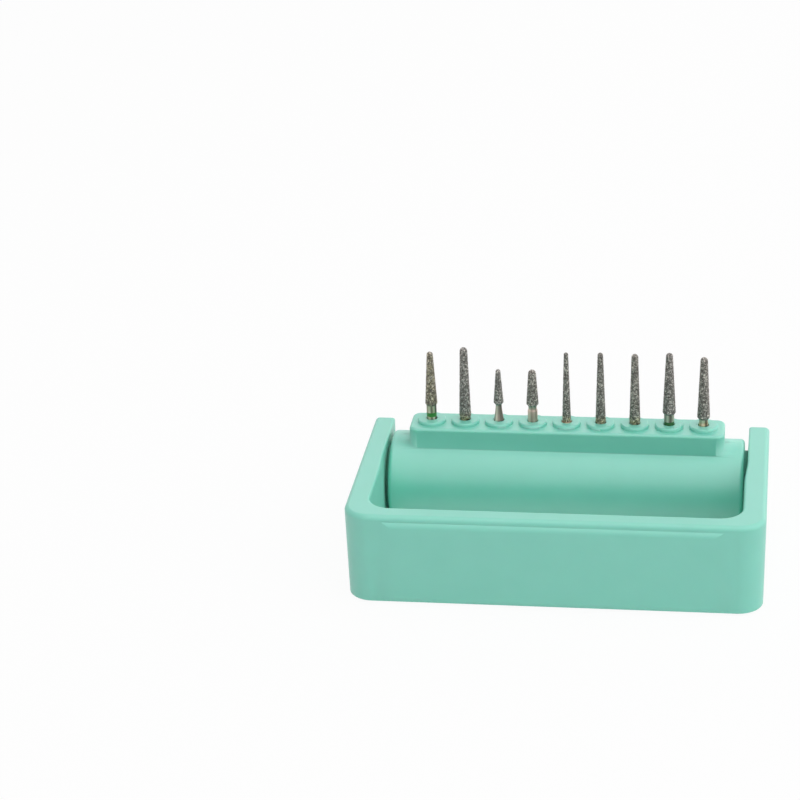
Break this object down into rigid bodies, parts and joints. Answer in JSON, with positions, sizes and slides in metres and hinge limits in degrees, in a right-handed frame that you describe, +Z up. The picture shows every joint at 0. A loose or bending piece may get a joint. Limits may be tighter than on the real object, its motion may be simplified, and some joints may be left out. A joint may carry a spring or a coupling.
{
  "type": "dental bur block",
  "caption": "Small block that stands a row of burs upright in collared holes, with a U-shaped guard frame hinged on its drum-shaped base.",
  "frame": {"origin": "centre of the foot's underside, straight under the pivot axis", "axes": "+X along the row of burs, +Z up along the burs, the folded guard frame lies toward -Y"},
  "size_m": [0.065, 0.0375, 0.0313],
  "materials": {
    "mint_plastic": "moulded, fine matte texture",
    "bur_steel": "turned steel shank, head coated in diamond grit"
  },
  "bodies": {
    "base": {"base_block": "mint_plastic", "bur_1": "bur_steel", "bur_2": "bur_steel", "bur_3": "bur_steel", "bur_4": "bur_steel", "bur_5": "bur_steel", "bur_6": "bur_steel", "bur_7": "bur_steel", "bur_8": "bur_steel", "bur_9": "bur_steel"},
    "frame": {"guard_frame": "mint_plastic"}
  },
  "joints": [
    {"name": "frame_swing", "type": "hinge", "parent": "base", "child": "frame", "pos_m": [0, 0, 0.00785], "axis": [-1, 0, 0], "range_deg": [0, 180]}
  ]
}
